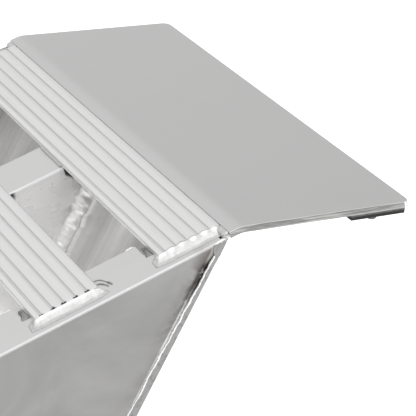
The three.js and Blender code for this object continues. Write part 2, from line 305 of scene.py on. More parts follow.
def cut_edges(value, side):
    """A layer for a plate's sheared edges at its sides, with a painted highlight along the arris above them,
    a near-white colour that also stands for polish.
    """
    def layer(s, color, rough, tone):
        from_middle = s.math("ABSOLUTE", s.axis(1))
        arris = s.span(from_middle, side - 1.0 * MM, side - 0.7 * MM)
        # painted highlight along the arris
        color = s.blend(arris, color, grey(0.95))
        at_edge = s.span(from_middle, side - 0.3 * MM, side - 0.1 * MM)
        sheared = s.span(s.noise((22, 22, 420), 4.0, 0.65, 0.4, SLOPE), 0.36, 0.66, 0.7, 1.7)
        return s.blend(at_edge, color, s.scaled(grey(value, 0.01), sheared)), rough
    return layer


def tread_painted_shade_and_light(s, color, rough, tone):
    """Painted shade in the grooves and in the pits at their ends, and painted light on the underside."""
    # painted shade in the grooves
    color = s.blend(s.times(s.attribute("groove"), GROOVE_PAINTED_SHADE), color, grey(0.18, 0.01))
    # painted shade, near black, in the pits at the grooves' ends
    color = s.blend(s.math("ADD", s.attribute("pit_shade"), 0.0, clamp=True), color, grey(0.015, 0.05))
    # painted light: the underside is made bright
    below = s.span(s.axis(2), TREAD_TOP - 3.5 * MM, TREAD_TOP - 2.5 * MM, 1.0, 0.0)
    return s.blend(below, color, s.scaled(grey(UNDERSIDE_PAINTED_LIGHT_GREY, 0.004), tone)), rough


def rail_edge_highlight(s, color, rough, tone):
    """Painted highlight on the rails' rounded upper edges, a near-white colour that also stands for polish
    from handling.
    """
    top = s.span(s.axis(2), RAIL_TOP - 2.3 * MM, RAIL_TOP - 1.5 * MM)
    outer = s.span(s.math("ABSOLUTE", s.axis(1)), SIDE - 2.6 * MM, SIDE - 1.8 * MM)
    middle = s.span(s.from_middle_face(), 1.8 * MM, 2.6 * MM, 1.0, 0.0)
    edge_highlight = s.times(top, s.math("MAXIMUM", outer, middle))
    # painted highlight, near-white, along the rounded upper edges
    color = s.blend(s.math("MULTIPLY", edge_highlight, EDGE_HIGHLIGHT_SHARE), color, grey(1.0))
    return color, s.math("ADD", rough, s.math("MULTIPLY", edge_highlight, EDGE_HIGHLIGHT_ROUGHER))


def rail_smut_and_painted_shadow(s, color, rough, tone):
    """Smut along the end plate's welds, and painted shadow under the treads on the middle web."""
    for mask, tint in (*weld_smut(s), web_painted_shadow(s)):
        color = s.blend(mask, color, tint)
        rough = s.math("ADD", rough, s.math("MULTIPLY", mask, SMUT_AND_SHADOW_ROUGHER))
    return color, rough


def weld_smut(s):
    """Brown smut along the end plate's weld, and black smut close to its upper half."""
    depth = s.math("SUBTRACT", END_NORMAL.dot(END_TOP) - PLATE, s.dot(END_NORMAL))
    near = s.span(depth, 5 * MM, 24 * MM, 1.0, 0.0)
    patches = s.span(s.noise((24, 24, 34), 4.0, 0.65, 1.0), 0.38, 0.62)
    height = s.span(s.axis(2), 0.06, RAIL_TOP, 0.35, 1.0)
    close = s.span(depth, 4 * MM, 13 * MM, 1.0, 0.0)
    above = s.span(s.axis(2), 0.085, 0.125)
    below = s.span(s.axis(2), RAIL_TOP - 17 * MM, RAIL_TOP - 10 * MM, 1.0, 0.0)
    spots = s.span(s.noise((60, 60, 60), 3.0, 0.6), 0.36, 0.52)
    return [
        (s.times(near, patches, height, 0.75), grey(0.09, 0.14)),
        (s.times(close, s.times(above, below), spots), grey(0.02, 0.25)),
    ]


def web_painted_shadow(s):
    """Painted shadow: black on the middle web at both edges of each tread above it."""
    low, high = boxes[TREADS[0]]
    width = high[0] - low[0]
    pitch = low[0] - boxes[TREADS[1]][0][0]
    step = s.math("DIVIDE", s.math("SUBTRACT", s.axis(0), low[0] - 10 * pitch), pitch)
    run = s.math("MULTIPLY", s.math("FRACT", step), pitch)
    face = s.span(s.from_middle_face(), 2 * MM, 5 * MM, 1.0, 0.0)
    below_low = s.span(s.math("ADD", s.axis(2), run), 0.139, 0.143)
    at_low = s.times(s.span(run, 11 * MM, 15 * MM, 1.0, 0.0), below_low)
    before_high = s.span(run, width - 3 * MM, width - 1 * MM)
    past_high = s.span(run, width + 4 * MM, width + 9 * MM, 1.0, 0.0)
    at_high = s.times(before_high, past_high, s.span(s.axis(2), 0.138, 0.147))
    side_top = s.span(s.axis(2), RAIL_TOP - 1.6 * MM, RAIL_TOP - 0.6 * MM, 1.0, 0.0)
    # painted shadow, near black, under each tread's edges
    return s.times(face, s.math("MAXIMUM", at_low, at_high), side_top, 0.96), grey(0.02)


def weld_metal(name, value, oxide_share, dull=0.0):
    """Cooled weld pool, with fine pits, some grey oxide, and a painted highlight in near-white where its
    vertex attribute asks for it.
    """
    s = Shader(name)
    pits = s.noise((1500, 1500, 1500), 3.0, 0.6)
    lumps = s.noise((230, 230, 230), 3.0, 0.5, 0.8)
    oxide = s.span(s.noise((190, 190, 190), 4.0, 0.6, 0.5), 0.48, 0.68)
    color = s.blend(s.math("MULTIPLY", oxide, oxide_share), grey(value, 0.004), grey(value * 0.42, 0.05))
    # painted highlight: near-white where the vertex attribute is set
    color = s.blend(s.attribute("painted_highlight"), color, grey(0.97))
    s.link(color, s.bsdf.inputs["Base Color"])
    s.link(s.span(lumps, 0.25, 0.75, 0.26 + dull, 0.46 + dull), s.bsdf.inputs["Roughness"])
    s.bsdf.inputs["Metallic"].default_value = 1.0
    s.link(s.bump(pits, 0.05 * MM, 0.35, s.bump(lumps, 0.5 * MM, 0.35)), s.bsdf.inputs["Normal"])
    return s.material


def rubber_sheet(name):
    """Black porous rubber, dusty, with patches of lighter grey on its upper part."""
    s = Shader(name)
    pores = s.noise((2200, 2200, 2200), 3.0, 0.6)
    dust = s.span(s.noise((60, 60, 60), 5.0, 0.65), 0.5, 0.8)
    color = s.blend(s.math("MULTIPLY", dust, 0.5), grey(0.010), grey(0.045, 0.02))
    patchy = s.span(s.noise((90, 90, 90), 3.0, 0.6), 0.3, 0.6, 0.5, 1.0)
    lighter_upper = s.times(s.span(s.attribute("upper"), 0.55, 0.8), patchy)
    s.link(s.blend(lighter_upper, color, grey(0.15, 0.01)), s.bsdf.inputs["Base Color"])
    s.link(s.span(pores, 0.2, 0.8, 0.62, 0.86), s.bsdf.inputs["Roughness"])
    s.link(s.bump(pores, 0.12 * MM, 0.6), s.bsdf.inputs["Normal"])
    return s.material


def screw_metal(name):
    """Dark dull steel."""
    s = Shader(name)
    turning = s.noise((1800, 1800, 1800), 2.0)
    dull = s.noise((300, 300, 300), 4.0, 0.6)
    s.link(s.blend(dull, grey(0.10, 0.02), grey(0.22)), s.bsdf.inputs["Base Color"])
    s.link(s.span(dull, 0.2, 0.8, 0.34, 0.56), s.bsdf.inputs["Roughness"])
    s.bsdf.inputs["Metallic"].default_value = 1.0
    s.link(s.bump(turning, 0.03 * MM, 0.5), s.bsdf.inputs["Normal"])
    return s.material


finishes = {
    "rail": aluminium("rail_mill", 0.60, 0.33, (0,), streak=0.05, scratches=0.0, brush=0.0, satin=0.0,
                      layers=[rail_inside_light_outside_shade, rail_edge_highlight, rail_smut_and_painted_shadow]),
    "tread": aluminium("tread_mill", 0.72, 0.42, (1,), mottle=0.02, streak=0.12, specks=0.07,
                       layers=[tread_painted_shade_and_light]),
    "plate": aluminium("plate_mill", 0.55, 0.36, (1,), mottle=0.01, streak=0.015, wave=0.04,
                       scratches=0.012, specks=0.015, layers=[cut_edges(0.25, SIDE)]),
    # the end plate carries painted reflection bands
    "end": aluminium("end_plate_mill", 0.68, 0.20, (0, 2), mottle=0.14, streak=0.55, wave=0.35,
                     scratches=0.0, metallic=0.9, reflection_bands=1.2, layers=[cut_edges(0.30, end_high[1])]),
    "tie": aluminium("tie_mill", 0.57, 0.36, (1,)),
    "weld": weld_metal("weld_fillet", 0.56, 0.22),
    # near-white copy of the weld metal: painted light for the welds inside the dim bays
    "bead": weld_metal("weld_bead_painted_light", 0.97, 0.12, 0.16),
    "seam": weld_metal("weld_seam", 0.29, 0.45),
    # the crest's weld metal is a lighter copy, as a painted highlight
    "crest": weld_metal("weld_crest_painted_highlight", 0.80, 0.15),
    "burnt": weld_metal("weld_burnt", 0.34, 0.9),
    "rubber": rubber_sheet("pad_rubber_sheet"),
    "screw": screw_metal("screw_bright"),
}


# ---- meshes ----

LIP_EDGE = 0.9 * MM
RAIL_EDGE = 0.9 * MM
PLATE_EDGE = 0.5 * MM


def piece_from(name, bm, finish, stands_for=()):
    """A finished bmesh as a piece that rides on the ramp."""
    mesh = bpy.data.meshes.new(name)
    bm.to_mesh(mesh)
    bm.free()
    piece = bpy.data.objects.new(name, mesh)
    bpy.context.scene.collection.objects.link(piece)
    mesh.materials.append(finishes[finish])
    for polygon in mesh.polygons:
        polygon.use_smooth = True
    if stands_for:
        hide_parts(*stands_for)
    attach(piece, "root")
    return piece


def soften(piece, width, segments=3, angle=28):
    """Round a piece's edges, and keep its flat faces flat."""
    bevel = piece.modifiers.new("edges", "BEVEL")
    bevel.width = width
    bevel.segments = segments
    bevel.limit_method = "ANGLE"
    bevel.angle_limit = math.radians(angle)
    bevel.miter_outer = "MITER_ARC"
    normals = piece.modifiers.new("normals", "WEIGHTED_NORMAL")
    normals.keep_sharp = True
    return piece


def copied(node, finish, edge):
    """A CAD node's own shape, with merged faces and rounded edges."""
    bm = bmesh.new()
    bm.from_mesh(nodes[node].data)
    bmesh.ops.remove_doubles(bm, verts=bm.verts, dist=1e-5)
    bmesh.ops.dissolve_limit(bm, angle_limit=math.radians(0.6), verts=bm.verts, edges=bm.edges)
    return soften(piece_from(f"{node}_shell", bm, finish, [node]), edge)


def join_rings(bm, rings):
    """Skin closed rings of points into one solid with capped ends."""
    for before, after in zip(rings, rings[1:]):
        for index in range(len(before)):
            follow = (index + 1) % len(before)
            bm.faces.new((before[index], before[follow], after[follow], after[index]))
    bm.faces.new(rings[0])
    bm.faces.new(rings[-1])
    bmesh.ops.recalc_face_normals(bm, faces=bm.faces)


def add_pad(node):
    """Rubber pad that knows how near each point is to its plate, where its colour is a lighter grey."""
    pad = copied(node, "rubber", PLATE_EDGE)
    heights = [vert.co.dot(OFF_SLOPE) for vert in pad.data.vertices]
    lowest, highest = min(heights), max(heights)
    upper = pad.data.attributes.new("upper", "FLOAT", "POINT")
    for index, height in enumerate(heights):
        upper.data[index].value = (height - lowest) / (highest - lowest)


# ---- treads ----

GROOVE_HALF = 1.15 * MM
GROOVE_DEPTH = 1.5 * MM
LANE_CROWN = 0.5 * MM
TREAD_EDGE = 2.0 * MM
PIT_HALF = 2.8 * MM
PIT_LENGTH = 3.4 * MM
MELT_LENGTH = 5 * MM
MELT_DEPTH = 0.7 * MM  # the lanes' ends are melted down a little under the welds
END_STATIONS = [0, 0.7 * MM, 1.4 * MM, 2.2 * MM, 3.2 * MM, MELT_LENGTH]
EDGE_STEPS = 6
LANE_STEPS = 6


def groove_middle(low, high):
    """Place along the ramp of a tread's middle groove."""
    return (low[0] + high[0]) / 2 + GROOVE_SHIFT


def tread_outline(low, high):
    """Rounded bar with crowned lanes between its grooves."""
    top = high[2]
    middle = groove_middle(low, high)
    grooves = [middle + (index - (GROOVE_COUNT - 1) / 2) * GROOVE_PITCH for index in range(GROOVE_COUNT)]
    starts = [low[0] + TREAD_EDGE] + [groove + GROOVE_HALF for groove in grooves]
    stops = [groove - GROOVE_HALF for groove in grooves] + [high[0] - TREAD_EDGE]
    points = [(low[0], low[2])]
    for step in range(EDGE_STEPS + 1):
        turn = math.pi / 2 * step / EDGE_STEPS
        points.append((
            low[0] + TREAD_EDGE * (1 - math.cos(turn)),
            top - LANE_CROWN - TREAD_EDGE * (1 - math.sin(turn)),
        ))
    for lane, (start, stop) in enumerate(zip(starts, stops)):
        for step in range(1 if lane == 0 else 0, LANE_STEPS + (0 if lane == GROOVE_COUNT else 1)):
            part = step / LANE_STEPS
            crown = LANE_CROWN * (1 - (2 * part - 1) ** 2)
            points.append((start + (stop - start) * part, top - LANE_CROWN + crown))
        if lane < GROOVE_COUNT:
            points.append((grooves[lane] - GROOVE_HALF * 0.45, top - GROOVE_DEPTH))
            points.append((grooves[lane] + GROOVE_HALF * 0.45, top - GROOVE_DEPTH))
    for step in range(EDGE_STEPS + 1):
        turn = math.pi / 2 * (1 - step / EDGE_STEPS)
        points.append((
            high[0] - TREAD_EDGE * (1 - math.cos(turn)),
            top - LANE_CROWN - TREAD_EDGE * (1 - math.sin(turn)),
        ))
    points.append((high[0], low[2]))
    return points


def groove_painted_shade(x, z, low, high):
    """Painted shade: 1 on a groove's floor, fading over the lane above it."""
    if high[2] - z > GROOVE_DEPTH * 0.8 and low[0] + TREAD_EDGE < x < high[0] - TREAD_EDGE:
        return 1.0
    middle = groove_middle(low, high)
    from_groove = (x - middle) % GROOVE_PITCH
    fade = max(0.0, 1 - (from_groove - GROOVE_HALF) / (4 * MM))
    return 0.35 * fade if low[0] + 4 * MM < x < high[0] - 3 * MM else 0.0


def pit_painted_shade(x, inset, node):
    """Painted shade, near black, in the half-moon pit that some welds leave at a groove's end."""
    low, high = boxes[node]
    middle = groove_middle(low, high)
    to_groove = abs((x - middle + GROOVE_PITCH / 2) % GROOVE_PITCH - GROOVE_PITCH / 2)
    if not pitted(node) or not low[0] + TREAD_EDGE < x < high[0] - TREAD_EDGE:
        return 0.0
    size = 1 + 0.8 * wobble(tread_number(node) + 400, round((x - middle) / GROOVE_PITCH + 0.5), 1.3)
    return 3 * max(0.0, 1 - (to_groove / PIT_HALF / size) ** 2 - (inset / PIT_LENGTH / size) ** 2)


def tread_number(node):
    return int(node[-2:])


def pitted(node):
    """True for every other tread: its weld stopped short of the lanes and left pits."""
    return tread_number(node) % 2 == 0


def add_tread(node):
    """Bar with melted ends, in lengths short enough near them to carry the painted shade of its pits."""
    low, high = boxes[node]
    outline = tread_outline(low, high)
    insets = END_STATIONS + END_STATIONS[::-1]
    bm = bmesh.new()
    groove = bm.verts.layers.float.new("groove")
    pit_shade = bm.verts.layers.float.new("pit_shade")
    sections = []
    for index, inset in enumerate(insets):
        y = low[1] + inset if index < len(END_STATIONS) else high[1] - inset
        melt = MELT_DEPTH * (1 - inset / MELT_LENGTH) ** 2
        section = []
        for x, z in outline:
            vert = bm.verts.new((x, y, z - melt if z > low[2] else z))
            # painted shade in the grooves, kept in the groove attribute
            vert[groove] = groove_painted_shade(x, z, low, high)
            # painted shade in the pits
            vert[pit_shade] = pit_painted_shade(x, inset, node)
            section.append(vert)
        sections.append(section)
    join_rings(bm, sections)
    piece = piece_from(f"{node}_bar", bm, "tread", [node])
    sharp = piece.modifiers.new("creases", "EDGE_SPLIT")
    sharp.split_angle = math.radians(34)


# ---- welds ----

def wobble(seed, place, scale):
    """Smooth value in -1..1 that depends on a place along a weld."""
    return noise.noise(Vector((place * scale, seed * 7.31, seed * 3.17)))


def name_seed(name):
    """The same number for the same name, whatever was built before it."""
    return 500 + sum(map(ord, name)) % 97


def inside_box(point):
    """The point, kept within the CAD model's box."""
    return Vector([min(max(value, low), high) for value, low, high in zip(point, *cad_box)])


def weld_size(run, length, swell):
    """Rounded start and stop of a weld, 0 at its tips and 1 between."""
    tip = min(run, length - run) / swell
    return math.sqrt(max(0.0, 1 - (1 - min(tip, 1.0)) ** 2))


def add_weld(name, stations, seed, ripple=0.1, lump=0.14, step=0.7 * MM, sides=9, swell=5 * MM,
             pitch=3.4 * MM, round_to=0.85, arc=math.pi / 2, finish="weld"):
    """Lumpy fillet swept along stations of (root, first leg, second leg), legs as vectors."""
    fine = refine(stations, step)
    length = fine[-1][0]
    bm = bmesh.new()
    rings = []
    for run, root, leg_a, leg_b in fine:
        size = max(weld_size(run, length, swell), 0.06)
        size *= 1 + lump * (wobble(seed, run, 70) + 0.6 * wobble(seed + 50, run, 190))
        ring = [bm.verts.new(root - (leg_a + leg_b) * 0.12 * size)]
        for side in range(sides + 1):
            turn = arc * side / sides
            crescent = math.sin(math.pi * side / sides)
            phase = (run + 1.8 * MM * crescent) / pitch + 0.6 * wobble(seed + 9, run, 60)
            scale = 0.5 - abs((phase % 1.0) - 0.5) * 2
            drop = wobble(seed + side * 0.35, run, 300) * lump * 0.4
            fat = size * (1 + crescent * (ripple * scale + drop))
            across = math.copysign(abs(math.cos(turn)) ** round_to, math.cos(turn))
            ring.append(bm.verts.new(inside_box(
                root + leg_a * fat * across + leg_b * fat * abs(math.sin(turn)) ** round_to)))
        rings.append(ring)
    join_rings(bm, rings)
    return piece_from(name, bm, finish)


def refine(stations, step):
    """Stations spaced evenly by step, each with its distance along the weld."""
    spans = [(after[0] - before[0]).length + (after[1] - before[1]).length * 0.8
             for before, after in zip(stations, stations[1:])]
    length = sum(spans)
    count = max(8, round(length / step))
    fine = []
    index, passed = 0, 0.0
    for number in range(count + 1):
        run = length * number / count
        while index < len(spans) - 1 and run > passed + spans[index]:
            passed += spans[index]
            index += 1
        part = min(1.0, (run - passed) / spans[index])
        before, after = stations[index], stations[index + 1]
        fine.append((run, *(first.lerp(last, part) for first, last in zip(before, after))))
    return fine


def straight(start, end, leg_a, leg_b):
    return [(Vector(start), Vector(leg_a), Vector(leg_b)), (Vector(end), Vector(leg_a), Vector(leg_b))]


PUDDLE_STEPS = 9
TOE_RIDGE = 0.08 * MM
BAR_WELD_WIDTH = 8.6 * MM
FLANGE = 51 * MM
NOTCH_REACH = 7 * MM
FOOT_LENGTH = 170 * MM
LOW_PUDDLE = 11 * MM
HIGH_PUDDLE = 9 * MM


def scallop(x, node, seed):
    """How far weld metal climbed over a tread's end: 1 on a lane, 0 at a groove."""
    low, high = boxes[node]
    middle = groove_middle(low, high)
    lane = (x - middle) / GROOVE_PITCH
    if not low[0] < x < high[0]:
        return 0.2
    hump = abs(math.sin(math.pi * lane)) ** 0.7
    return hump * (0.7 + 0.9 * wobble(seed + math.floor(lane), 1.0, 0.9)) * (0.15 if pitted(node) else 1.0)


def splash_painted_highlight(x, share, node, seed):
    """Painted highlight in near-white where the weld splashed up a lane's end, 0 to 1."""
    low, high = boxes[node]
    climbed = min(max((share - 0.70) / 0.25, 0.0), 1.0)
    lane = (x - groove_middle(low, high)) / GROOVE_PITCH
    along = 0.55 if pitted(node) else abs(math.sin(math.pi * lane)) ** 3
    at_corner = 0.9 if low[0] + 1 * MM < x < low[0] + 7 * MM else 0.0
    patchy = 0.7 + 0.9 * wobble(seed + 61, x, 120)
    return min(1.0, max(along, at_corner) * climbed * max(0.0, patchy))


def end_weld_path(node, side):
    """Path of the weld round a tread's end, as stations of root, leg out over the flange and leg up."""
    low, high = boxes[node]
    end = side * high[1]
    height = high[2] - RAIL_TOP
    out = Vector((0, side, 0))
    corner_low = Vector((low[0], end, RAIL_TOP))
    corner_high = Vector((high[0], end, RAIL_TOP))
    inward = -out * 7 * MM
    return [
        (corner_low + inward, -ALONG * 3.0 * MM, UP * height * 0.4),
        (corner_low + inward * 0.3, -ALONG * 7 * MM, UP * height * 0.6),
        (corner_low, (out - ALONG).normalized() * LOW_PUDDLE, UP * height * 0.8),
        (corner_low + ALONG * 5 * MM, out * (BAR_WELD_WIDTH + 1.2 * MM), UP * height),
        (corner_low.lerp(corner_high, 0.5), out * BAR_WELD_WIDTH, UP * height),
        (corner_high - ALONG * 5 * MM, out * (BAR_WELD_WIDTH + 0.8 * MM), UP * height),
        (corner_high, (out + ALONG).normalized() * HIGH_PUDDLE, UP * height * 0.7),
        (corner_high + inward * 0.4, ALONG * 2.0 * MM, UP * height * 0.4),
    ]


def puddle_points(run, station, size, node, seed):
    """Points of the weld at one station, each with its share of painted highlight: beneath, up its face, over
    the lane.
    """
    root, leg_out, leg_up = station
    back = -leg_out.normalized()
    broad = size * (1 + 0.07 * wobble(seed, run, 60) + 0.03 * wobble(seed + 50, run, 170))
    climb = scallop(root.x, node, seed)
    yield root + back * 1.5 * MM - UP * 0.5 * MM, 0.0
    for part in range(PUDDLE_STEPS + 1):
        share = part / PUDDLE_STEPS
        toe = TOE_RIDGE * math.sin(math.pi * min(1.0, share / 0.4))
        lumps = 0.6 * wobble(seed + 3 + share, run, 130) + 0.4 * wobble(seed + 7, run, 330)
        swell = toe + math.sin(math.pi * share) * lumps * 0.45 * MM
        lift = leg_up * size * share ** 1.8 * (0.86 + 0.10 * min(1.0, climb))
        point = root + leg_out * broad * (1 - share) + lift + UP * swell * size
        yield inside_box(point), splash_painted_highlight(root.x, share, node, seed)
    top = root + leg_up * size * (0.86 + 0.12 * min(1.0, climb))
    over = (0.4 + 3.6 * climb * (1 + 0.4 * wobble(seed + 21, run, 110))) * MM * size
    for reach, rise in ((0.35, 0.35), (0.75, 0.15), (1.0, -0.35)):
        yield inside_box(top + back * over * reach + UP * rise * climb * MM), 0.0
    yield top + back * (over + 0.4 * MM) - UP * 2.4 * MM, 0.0


def tread_end_weld(node, side):
    """Concave fillet from the flange up a tread's end, that climbs over the lanes in blobs."""
    seed = tread_number(node) * 3 + side
    fine = refine(end_weld_path(node, side), 0.8 * MM)
    length = fine[-1][0]
    bm = bmesh.new()
    painted_highlight = bm.verts.layers.float.new("painted_highlight")
    rings = []
    for run, *station in fine:
        size = max(weld_size(run, length, 6 * MM), 0.08)
        ring = []
        for point, bright in puddle_points(run, station, size, node, seed):
            vert = bm.verts.new(point)
            vert[painted_highlight] = bright
            ring.append(vert)
        rings.append(ring)
    join_rings(bm, rings)
    piece_from(f"{node}_weld_{side_name(side)}", bm, "weld")


RING_ALONG = 12 * MM
RING_ACROSS = 15 * MM
RING_SHARES = (1.0, 0.72)  # of the reach above, for the outer and the inner line
RING_STEPS = 24
RING_WIDTH = 0.8 * MM
RING_HEIGHT = 0.7 * MM


def burn_ring(node, side):
    """Two thin burnt lines that curl round a tread's high corner, where a weld was broken off."""
    high = boxes[node][1]
    number = tread_number(node)
    for index, mean_share in enumerate(RING_SHARES):
        stations = []
        for step in range(RING_STEPS + 1):
            turn = math.pi / 2 * step / RING_STEPS
            share = mean_share * (1 + 0.2 * wobble(number + 720 + index, turn, 1.1))
            place = Vector((
                high[0] + RING_ALONG * share * math.sin(turn),
                side * (high[1] - RING_ACROSS * share * math.cos(turn)),
                RAIL_TOP,
            ))
            away = Vector((math.sin(turn), -side * math.cos(turn), 0))
            stations.append((place, away * RING_WIDTH, UP * RING_HEIGHT))
        add_weld(f"{node}_ring_{side_name(side)}_{index}", stations, number + 700 + index, ripple=0.4,
                 lump=0.6, step=0.6 * MM, sides=4, swell=3 * MM, pitch=2.2 * MM, arc=math.pi, finish="burnt")


NOSE_IN = 3 * MM
DEEP_IN = 24 * MM
NOSE_LENGTH = 11 * MM


def notch_weld(node, side):
    """Burnt, rippled weld that narrows a flange's notch towards the tread's end, and a bead at its mouth."""
    x = boxes[node][0][0]
    seed = tread_number(node) * 5 + side
    label = side_name(side)
    spread = 1.6 if pitted(node) else 1.0
    nose = Vector((x, side * (SIDE - FLANGE + NOSE_IN), RAIL_TOP - 4.0 * MM))
    deep = Vector((x, side * (SIDE - FLANGE + DEEP_IN), RAIL_TOP - 1.2 * MM))
    stations = [
        (nose, -ALONG * 2.6 * MM * spread, UP * 2.0 * MM),
        (nose.lerp(deep, 0.6), -ALONG * 4.8 * MM * spread ** 0.5, UP * 2.2 * MM),
        (deep, -ALONG * 7.4 * MM, UP * 1.4 * MM),
    ]
    add_weld(f"{node}_notch_{label}", stations, seed, ripple=0.9, lump=0.3, step=0.5 * MM, sides=9,
             swell=2 * MM, pitch=2.3 * MM, finish="burnt")
    edge = Vector((x - NOTCH_REACH, side * (SIDE - FLANGE), RAIL_TOP - 3 * MM))
    bead = straight(edge - ALONG * NOSE_LENGTH, edge, Vector((0, -side, 0)) * 1.6 * MM, UP * 3.2 * MM)
    add_weld(f"{node}_nose_{label}", bead, seed + 90, ripple=0.3, lump=0.4, step=0.7 * MM, sides=7,
             swell=4 * MM, finish="bead")


TIE_BEAD = {"ripple": 0.18, "lump": 0.2, "step": 1.2 * MM, "sides": 6, "swell": 4 * MM, "pitch": 4 * MM}
TOE_BEAD = {"ripple": 0.16, "lump": 0.2, "step": 1.0 * MM, "sides": 6, "swell": 4 * MM, "pitch": 4 * MM}
FOOT_BEAD = {"ripple": 0.16, "lump": 0.22, "step": 1.2 * MM, "sides": 6, "swell": 4 * MM, "pitch": 4.5 * MM}
SHORTEST_WELD = 5 * MM
FOOT_WELD_START = 60 * MM


def tie_welds(node):
    """Fillets beside a cross tie where it lies on the rails' lower flanges, and one on a web's back."""
    low, high = boxes[node]
    for rail in RAILS:
        rail_low_end, rail_high_end = boxes[rail]
        start_y = max(low[1], rail_low_end[1])
        end_y = min(high[1], rail_high_end[1])
        if end_y - start_y < SHORTEST_WELD:
            continue
        for label, x, away in (("low", low[0], -ALONG), ("high", high[0], ALONG)):
            start = Vector((x, start_y + 1 * MM, PLATE))
            end = Vector((x, end_y - 1 * MM, PLATE))
            add_weld(f"{node}_{rail}_weld_{label}", straight(start, end, away * 5 * MM, UP * 5.5 * MM),
                     name_seed(node + rail + label), **TIE_BEAD)
    if "near" in node:
        start = Vector((low[0] + 2 * MM, high[1], high[2]))
        end = Vector((high[0] - 2 * MM, high[1], high[2]))
        add_weld(f"{node}_butt_weld", straight(start, end, -ACROSS * 5 * MM, UP * 5 * MM),
                 name_seed(node), **TIE_BEAD)


def add_foot_welds():
    """Fillets along the toe plate's high edge, and between the rails' webs and the foot plate."""
    toe_edge = boxes["toe_plate"][1][0]
    foot_low, foot_high = boxes["foot_plate"]
    on_plate = Vector((foot_low[0], 0, foot_high[2])) + OFF_SLOPE * PLATE
    webs = (("rail_near", -SIDE + PLATE, ACROSS), ("rail_middle", MIDDLE_FACE + PLATE, ACROSS),
            ("rail_far", SIDE - PLATE, -ACROSS))
    for rail, web, away in webs:
        low, high = boxes[rail]
        start = Vector((toe_edge, low[1] + 4 * MM, RAIL_TOP))
        end = Vector((toe_edge, high[1] - 4 * MM, RAIL_TOP))
        add_weld(f"toe_weld_{rail}", straight(start, end, ALONG * 6 * MM, UP * 5.6 * MM),
                 name_seed(rail), **TOE_BEAD)
        start = on_plate + SLOPE_DOWN * FOOT_WELD_START
        end = on_plate + SLOPE_DOWN * (FOOT_LENGTH - 6 * MM)
        start.y = end.y = web
        add_weld(f"foot_weld_{rail}", straight(start, end, away * 6 * MM, OFF_SLOPE * 6 * MM),
                 name_seed("foot" + rail), **FOOT_BEAD)


def add_lip_seam():
    """Fillet under the lip, along the end plate's outer face."""
    down = -Vector((math.cos(END_PLATE_ANGLE), 0, math.sin(END_PLATE_ANGLE)))
    start = END_TOP + Vector((0, -SIDE + 4 * MM, 0))
    end = END_TOP + Vector((0, SIDE - 4 * MM, 0))
    add_weld("lip_seam_weld", straight(start, end, down * 7 * MM, ALONG * 6 * MM), 620,
             ripple=0.16, lump=0.2, step=1.2 * MM, sides=7, swell=5 * MM, pitch=4.5 * MM)


def add_lip_joint():
    """Weld metal low in the gap between the lip plate and the first tread."""
    low, high = boxes[TREADS[0]]
    start = Vector((high[0] + 0.5 * MM, low[1] + 1 * MM, RAIL_TOP + 3.0 * MM))
    end = Vector((start.x, high[1] - 1 * MM, start.z))
    add_weld("lip_joint_weld", straight(start, end, ALONG * 1.0 * MM, UP * 0.6 * MM), 410,
             ripple=0.1, lump=0.12, step=3 * MM, sides=4, arc=math.pi, finish="weld")


def tread_middle_weld(node):
    """Small fillet where a tread's low face crosses the middle rail."""
    x = boxes[node][0][0]
    middle_low, middle_high = boxes["rail_middle"]
    start = Vector((x, middle_low[1] + 2 * MM, RAIL_TOP))
    end = Vector((x, middle_high[1] - 1 * MM, RAIL_TOP))
    add_weld(f"{node}_weld_middle", straight(start, end, -ALONG * 2.2 * MM, UP * 2.6 * MM),
             tread_number(node) + 200, ripple=0.2, step=0.9 * MM, sides=5, swell=2 * MM)


# The end plate's thickness, measured level along the ramp.
INNER_DEPTH = PLATE / math.sin(END_PLATE_ANGLE)


def inner_line(height, side_y):
    """Point of the end plate's inner face at a height and place across."""
    x = END_TOP.x - (END_TOP.z - height) / math.tan(END_PLATE_ANGLE) - INNER_DEPTH
    return Vector((x, side_y, height))


def add_end_welds():
    """Fillets between the rails' webs and the end plate, inside and outside."""
    faces = [
        ("near", -SIDE + PLATE, ACROSS),
        ("middle_low", MIDDLE_FACE, -ACROSS),
        ("middle_high", MIDDLE_FACE + PLATE, ACROSS),
        ("far", SIDE - PLATE, -ACROSS),
    ]
    for index, (name, place, away) in enumerate(faces):
        start = inner_line(PLATE + 4 * MM, place)
        end = inner_line(RAIL_TOP - PLATE - 2 * MM, place)
        legs = (-END_NORMAL * 11 * MM, away * 9.5 * MM)
        add_weld(f"end_weld_{name}", straight(start, end, *legs), 300 + index, ripple=0.12, lump=0.24,
                 swell=5 * MM, sides=12, pitch=9 * MM, round_to=1.15, finish="bead")
    for side in (-1, 1):
        seam_fill(side)
        seam_crest(side)
        lip_corner_weld(side)


# Outer seam: how far its crest is from the end plate's outer face, at the top and at the bottom.
CREST_TOP = 5 * MM
CREST_BOTTOM = 11 * MM
CREST_START = 0.10
FULL_REACH = 14.5 * MM
RAIL_RADIUS = 2.5 * MM
SEAM_STEPS = 170
# Dull metal between the plate's outer face and the crest: share of that width, and depth below the side.
SEAM_PROFILE = [
    (0.03, 1.7 * MM), (0.10, 1.15 * MM), (0.3, 0.8 * MM), (0.6, 0.65 * MM), (0.85, 0.75 * MM),
    (1.0, 1.1 * MM), (1.06, 3.2 * MM), (0.1, 3.2 * MM),
]


def seam_place(part, side):
    """Place on the end plate's outer face, on the ramp's side, and the crest's distance from it."""
    height = RAIL_TOP - 0.2 * MM - (RAIL_TOP - 2.2 * MM) * part
    place = inner_line(height, side * SIDE) + ALONG * INNER_DEPTH
    reach = CREST_TOP + (CREST_BOTTOM - CREST_TOP) * part
    return place, reach + 1.5 * MM * wobble(330 + side, part, 11) + 0.7 * MM * wobble(340 + side, part, 37)


